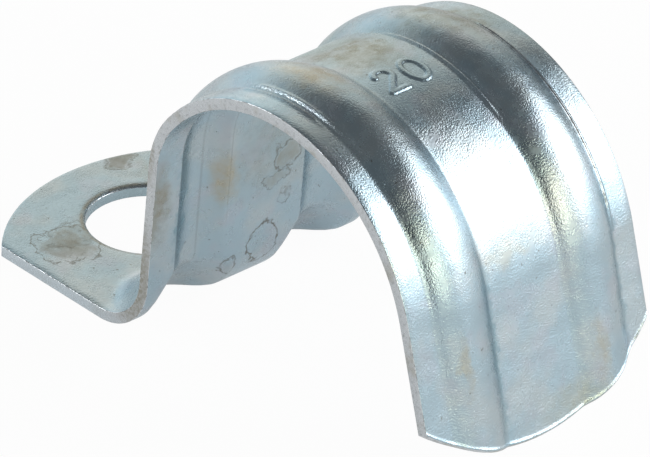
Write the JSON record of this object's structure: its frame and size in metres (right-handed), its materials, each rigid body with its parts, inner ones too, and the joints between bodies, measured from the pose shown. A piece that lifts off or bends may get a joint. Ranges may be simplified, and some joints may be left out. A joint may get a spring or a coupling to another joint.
{
  "type": "conduit strap",
  "caption": "One-hole saddle strap pressed from sheet steel, with a D-shaped screw foot, an arch for round conduit stiffened by twin beads, and a short flared free end.",
  "frame": {"origin": "centre of the screw hole, on the underside of the foot that lies on the wall", "axes": "+X from the foot towards the free end, +Y across the strip and along the conduit, +Z away from the wall"},
  "size_m": [0.0386, 0.016, 0.0195],
  "materials": {
    "zinc_plated_steel": "bright zinc plate, finely grained, with a few dried water stains"
  },
  "bodies": {
    "root": {"strap": "zinc_plated_steel"}
  },
  "joints": []
}
